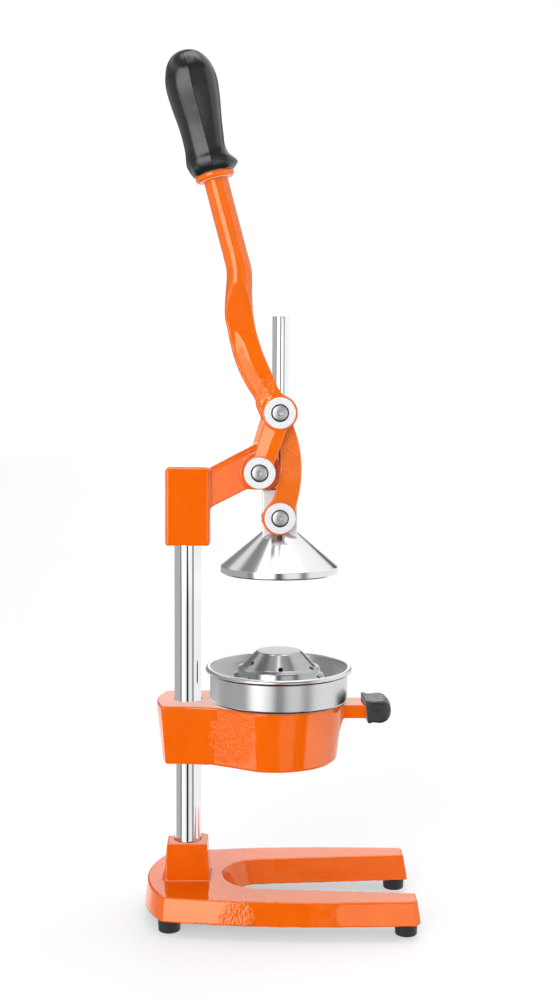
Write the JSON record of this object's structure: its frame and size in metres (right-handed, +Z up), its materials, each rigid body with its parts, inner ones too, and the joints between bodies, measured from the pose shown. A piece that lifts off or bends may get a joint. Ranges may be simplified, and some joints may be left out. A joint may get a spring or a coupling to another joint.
{
  "type": "manual citrus press",
  "caption": "Lever-operated citrus press: a forked crank lever and two curved links push a ram and press cone down over a strainer cup held on a column with a U-shaped base.",
  "frame": {"origin": "on the ground, at the centre of the footprint", "axes": "+X to the front, the open end of the base; +Z up; XZ is the mirror plane"},
  "size_m": [0.23, 0.138, 0.7216],
  "materials": {
    "orange_enamel": "glossy enamel on a casting",
    "chrome_plate": "bright chrome plate",
    "polished_aluminium": "turned and polished",
    "stainless": "satin stainless sheet",
    "zinc_steel": "zinc-plated steel",
    "dark_plastic": "satin moulded plastic",
    "black_rubber": "soft rubber",
    "bronze": "sintered bronze"
  },
  "bodies": {
    "root": {"base_casting": "orange_enamel", "rubber_feet": "black_rubber", "foot_washers": "zinc_steel", "foot_screws": "zinc_steel", "column": "chrome_plate", "column_bolt": "zinc_steel", "column_washer": "zinc_steel", "socket_grub_screw": "zinc_steel", "head_casting": "orange_enamel", "head_grub_screws": "zinc_steel", "ram_guide_bush": "bronze", "pivot_bush": "bronze", "cup_ring": "orange_enamel", "ring_grub_screw": "zinc_steel", "ring_handle_cap": "black_rubber", "juice_cup": "stainless", "strainer": "stainless"},
    "lever": {"lever_casting": "orange_enamel", "lever_grip": "dark_plastic", "pivot_pin": "zinc_steel", "pivot_washers": "chrome_plate", "pivot_screws": "chrome_plate", "crank_stub_pins": "zinc_steel", "crank_washers": "chrome_plate", "crank_screws": "chrome_plate"},
    "links": {"near_link": "orange_enamel", "far_link": "orange_enamel", "link_upper_bushes": "bronze", "link_lower_bushes": "bronze", "link_washers": "chrome_plate", "link_screws": "chrome_plate"},
    "ram": {"ram_rod": "chrome_plate", "ram_block": "chrome_plate", "rod_cross_pin": "zinc_steel", "ram_pin": "zinc_steel", "press_cone": "polished_aluminium", "cone_washer": "zinc_steel", "cone_nut": "zinc_steel"}
  },
  "joints": [
    {"name": "lever_hinge", "type": "hinge", "parent": "root", "child": "lever", "pos_m": [-0.018, 0, 0.3775], "axis": [0, 1, 0], "range_deg": [0, 120]},
    {"name": "link_hinge", "type": "hinge", "parent": "lever", "child": "links", "pos_m": [-0.0016, 0, 0.42653], "axis": [0, 1, 0], "range_deg": [-108.14, 0]},
    {"name": "ram_slide", "type": "slide", "parent": "root", "child": "ram", "axis": [0, 0, -1], "range_m": [0, 0.08603]}
  ],
  "couplings": [
    {"joint": "link_hinge", "follows": "lever_hinge", "ratio": -0.90104},
    {"joint": "ram_slide", "follows": "lever_hinge", "m_per_rad": 0.04107}
  ]
}
